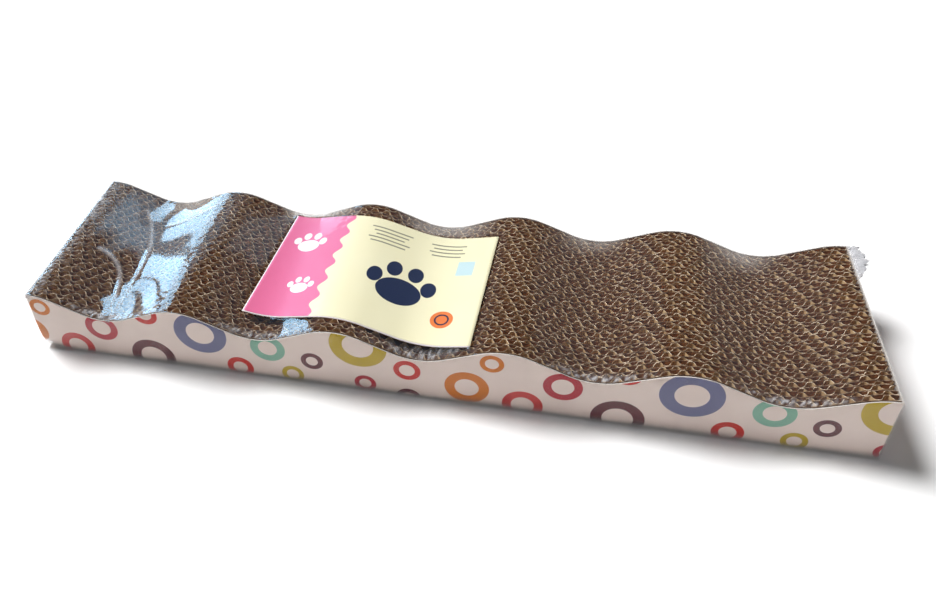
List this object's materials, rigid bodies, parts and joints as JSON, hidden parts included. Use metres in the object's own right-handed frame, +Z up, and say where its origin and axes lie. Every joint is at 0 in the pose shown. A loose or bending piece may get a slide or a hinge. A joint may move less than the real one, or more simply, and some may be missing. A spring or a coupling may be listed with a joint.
{
  "type": "cardboard cat scratcher",
  "caption": "Long narrow wavy pad of corrugated board strips in a ring-printed paperboard tray, with an insert card, sealed in clear shrink film; a cat scratches its top.",
  "frame": {"origin": "middle of the underside, on the surface that the scratcher lies on", "axes": "+X along the strips, +Y across them away from the viewer, +Z up"},
  "size_m": [0.4694, 0.1146, 0.0442],
  "materials": {
    "corrugated_board": "raw kraft board, cut edges",
    "printed_paperboard": "white coated paperboard with printed coloured rings",
    "insert_paper": "printed card, matt",
    "shrink_film": "clear glossy shrink film"
  },
  "bodies": {
    "root": {"corrugated_strip_01": "corrugated_board", "corrugated_strip_02": "corrugated_board", "corrugated_strip_03": "corrugated_board", "corrugated_strip_04": "corrugated_board", "corrugated_strip_05": "corrugated_board", "corrugated_strip_06": "corrugated_board", "corrugated_strip_07": "corrugated_board", "corrugated_strip_08": "corrugated_board", "corrugated_strip_09": "corrugated_board", "corrugated_strip_10": "corrugated_board", "corrugated_strip_11": "corrugated_board", "corrugated_strip_12": "corrugated_board", "corrugated_strip_13": "corrugated_board", "corrugated_strip_14": "corrugated_board", "corrugated_strip_15": "corrugated_board", "corrugated_strip_16": "corrugated_board", "corrugated_strip_17": "corrugated_board", "corrugated_strip_18": "corrugated_board", "printed_tray": "printed_paperboard", "insert_card": "insert_paper", "film_upper_web": "shrink_film", "film_lower_web": "shrink_film"}
  },
  "joints": []
}
